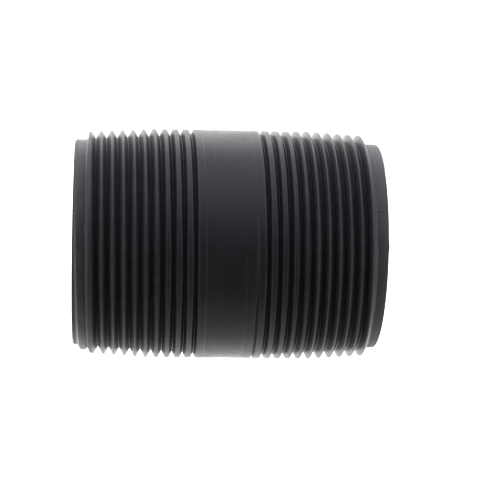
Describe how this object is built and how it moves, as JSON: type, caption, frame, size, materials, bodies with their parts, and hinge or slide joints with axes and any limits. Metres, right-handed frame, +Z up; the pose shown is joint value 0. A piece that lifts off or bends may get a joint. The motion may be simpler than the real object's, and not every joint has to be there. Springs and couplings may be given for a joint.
{
  "type": "threaded pipe nipple",
  "caption": "Short plastic pipe nipple: an open pipe with a tapered male thread on each end and a plain band between them, for joining two female fittings.",
  "frame": {"origin": "centre of the pipe, on its axis, midway between the two end faces", "axes": "+X along the pipe's axis from the left end to the right end, +Z up with the pipe lying on its side"},
  "size_m": [0.0636, 0.0482, 0.0482],
  "materials": {
    "charcoal_plastic": "satin charcoal-black moulded plastic with fine turning lines"
  },
  "bodies": {
    "root": {"nipple_body": "charcoal_plastic"}
  },
  "joints": []
}
